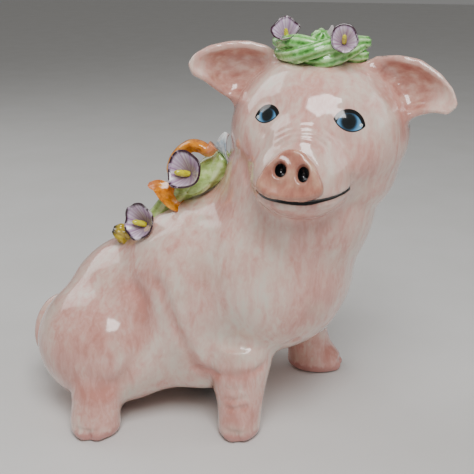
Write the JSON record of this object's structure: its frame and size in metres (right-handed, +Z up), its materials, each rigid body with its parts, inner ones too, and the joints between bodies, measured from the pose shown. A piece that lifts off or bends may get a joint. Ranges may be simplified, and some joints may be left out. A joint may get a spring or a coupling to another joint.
{
  "type": "piggy bank",
  "caption": "Seated glazed ceramic pig money bank with turned head, flower wreath and back garland, coin slot in the rump and a rubber stopper under the belly.",
  "frame": {"origin": "middle of the bounding box, on the floor", "axes": "+Z up, the body faces -Y, the head is turned to face -X"},
  "size_m": [0.158, 0.2456, 0.2344],
  "materials": {
    "pink_glaze": "gloss",
    "ear_glaze": "gloss",
    "snout_glaze": "gloss",
    "green_glaze": "gloss",
    "mauve_glaze": "gloss",
    "yellow_glaze": "gloss",
    "orange_glaze": "gloss",
    "blue_glaze": "gloss",
    "soft_rubber": "matt"
  },
  "bodies": {
    "bank": {"body_shell": "pink_glaze", "head_shell": "pink_glaze", "snout": "snout_glaze", "ear_right": "ear_glaze", "ear_left": "ear_glaze", "leg_front_right": "pink_glaze", "leg_front_left": "pink_glaze", "leg_rear_right": "pink_glaze", "leg_rear_left": "pink_glaze", "tail": "pink_glaze", "wreath_strand_a": "green_glaze", "wreath_strand_b": "green_glaze", "wreath_strand_c": "green_glaze", "wreath_cup_left": "mauve_glaze", "wreath_spadix_left": "yellow_glaze", "wreath_cup_right": "mauve_glaze", "wreath_spadix_right": "yellow_glaze", "wreath_bud": "green_glaze", "wreath_tip": "mauve_glaze", "back_vine": "green_glaze", "back_leaf_upper": "green_glaze", "back_leaf_lower": "green_glaze", "back_cup_upper": "mauve_glaze", "back_spadix_upper": "yellow_glaze", "back_cup_lower": "mauve_glaze", "back_spadix_lower": "yellow_glaze", "petal_arch": "orange_glaze", "petal_curl": "orange_glaze", "blue_petal": "blue_glaze", "yellow_bud": "yellow_glaze"},
    "stopper": {"stopper": "soft_rubber"}
  },
  "joints": [
    {"name": "stopper_pull", "type": "slide", "parent": "bank", "child": "stopper", "axis": [0, 0, -1], "range_m": [0, 0.03]}
  ]
}
